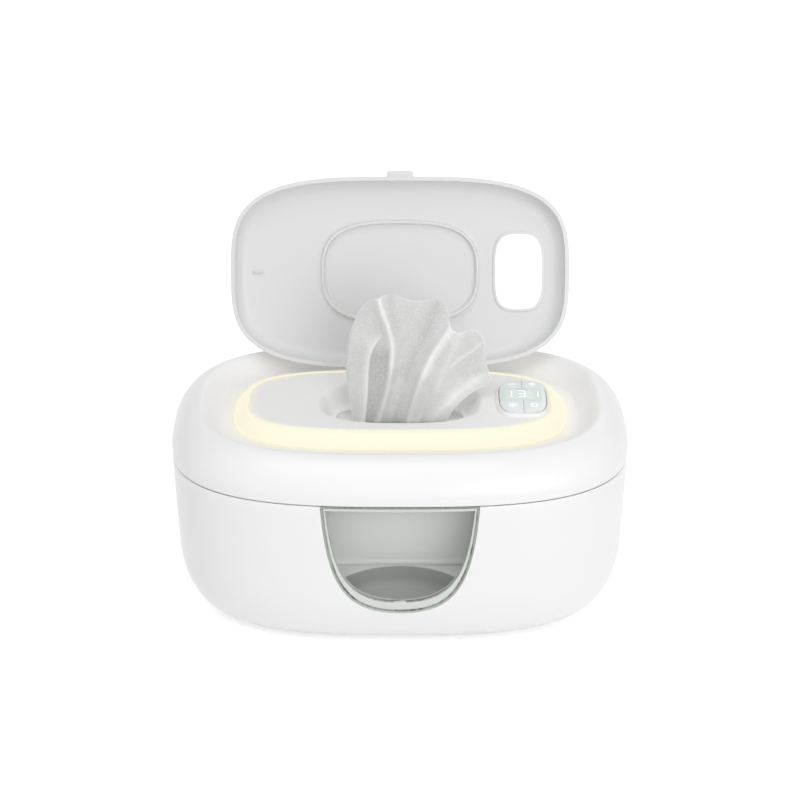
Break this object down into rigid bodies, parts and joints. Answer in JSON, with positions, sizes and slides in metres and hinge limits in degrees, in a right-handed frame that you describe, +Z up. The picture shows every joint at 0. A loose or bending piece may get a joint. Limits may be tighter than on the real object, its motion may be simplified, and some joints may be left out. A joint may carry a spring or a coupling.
{
  "type": "baby wipe warmer",
  "caption": "Oval wipe warmer with a hinged top cover, a flip lid over the dispensing well, a lit ring, a key panel and a front window.",
  "frame": {"origin": "on the floor under the middle of the object's bounding box", "axes": "+X to the right of someone who faces the window, +Y to the back, +Z up"},
  "size_m": [0.24, 0.1714, 0.2093],
  "materials": {
    "housing": "white, soft gloss",
    "deck": "warm white, satin",
    "lid": "warm white, satin",
    "light": "milky light diffuser, lit warm white",
    "keys": "cool light grey, satin",
    "display": "pale green, gloss",
    "silicone": "translucent grey silicone",
    "smoke": "tinted grey-green, gloss",
    "clear": "clear tinted pane",
    "tub": "grey, matt",
    "pack": "pale film, soft sheen",
    "cloth": "embossed nonwoven, matt",
    "plate": "rolled",
    "steel": "zinc plated",
    "board": "green laminate",
    "feet": "grey, matt",
    "inlet": "black, matt",
    "film": "amber film",
    "felt": "needled felt"
  },
  "bodies": {
    "base": {"lower_shell": "housing", "base_plate": "housing", "foot_front_left": "feet", "foot_front_right": "feet", "foot_back_left": "feet", "foot_back_right": "feet", "base_screw_front_left": "steel", "base_screw_front_right": "steel", "base_screw_back_left": "steel", "base_screw_back_right": "steel", "inner_tub": "tub", "tub_gasket": "silicone", "window_frame": "smoke", "window_pane": "clear", "window_seal": "silicone", "wipes_pack": "pack", "heater_plate": "plate", "heater_film": "film", "insulation_pad": "felt", "thermal_cut_off": "steel", "power_board": "board", "power_inlet": "inlet", "cover_hinge_pin": "steel"},
    "cover": {"upper_shell": "housing", "deck_platform": "deck", "light_ring": "light", "led_board": "board", "cover_liner": "deck", "wipe_gate": "silicone", "cover_screw_front_left": "steel", "cover_screw_front_right": "steel", "cover_screw_back_left": "steel", "cover_screw_back_right": "steel", "panel_surround": "deck", "display_band": "display", "control_board": "board", "lid_hinge_pin": "steel", "wipe_sheet": "cloth"},
    "lid": {"lid_shell": "lid", "lid_seal": "silicone"},
    "key_minus": {"key_minus": "keys"},
    "key_plus": {"key_plus": "keys"},
    "key_sun": {"key_sun": "keys"},
    "key_loop": {"key_loop": "keys"}
  },
  "joints": [
    {"name": "cover_hinge", "type": "hinge", "parent": "base", "child": "cover", "pos_m": [0, 0.0827, 0.0893], "axis": [-1, 0, 0], "range_deg": [0, 75]},
    {"name": "lid_hinge", "type": "hinge", "parent": "cover", "child": "lid", "pos_m": [0, 0.04555, 0.1102], "axis": [1, 0, 0], "range_deg": [0, 110], "deforming": ["wipe_sheet"]},
    {"name": "key_minus_press", "type": "slide", "parent": "cover", "child": "key_minus", "axis": [0, 0, -1], "range_m": [0, 0.0007], "stiffness_N_per_m": 300},
    {"name": "key_plus_press", "type": "slide", "parent": "cover", "child": "key_plus", "axis": [0, 0, -1], "range_m": [0, 0.0007], "stiffness_N_per_m": 300},
    {"name": "key_sun_press", "type": "slide", "parent": "cover", "child": "key_sun", "axis": [0, 0, -1], "range_m": [0, 0.0007], "stiffness_N_per_m": 300},
    {"name": "key_loop_press", "type": "slide", "parent": "cover", "child": "key_loop", "axis": [0, 0, -1], "range_m": [0, 0.0007], "stiffness_N_per_m": 300}
  ]
}
